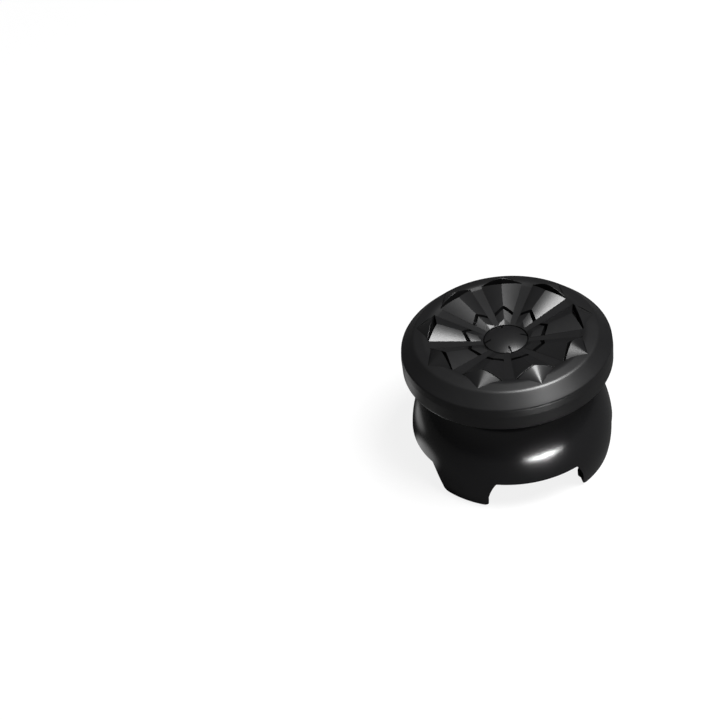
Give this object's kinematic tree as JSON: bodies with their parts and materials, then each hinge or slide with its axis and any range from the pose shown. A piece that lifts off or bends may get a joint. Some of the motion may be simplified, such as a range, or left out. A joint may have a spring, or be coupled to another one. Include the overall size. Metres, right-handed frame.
{
  "type": "controller thumb grip",
  "caption": "Raised thumb grip that clips over a game controller's analogue stick: a round, dished rubber tread with ridged petals on a hollow cup with clip lugs.",
  "frame": {"origin": "on the grip's axis at the plane of the lug feet", "axes": "+Z along the grip's axis from the lug feet up to the tread; +X through the middle of one notch and of one tread petal; +Y completes the frame"},
  "size_m": [0.024, 0.024, 0.018],
  "materials": {
    "tread_rubber": "satin black soft-touch rubber",
    "base_plastic": "smooth black, semi-gloss"
  },
  "bodies": {
    "root": {"tread_cap": "tread_rubber", "base": "base_plastic"}
  },
  "joints": []
}
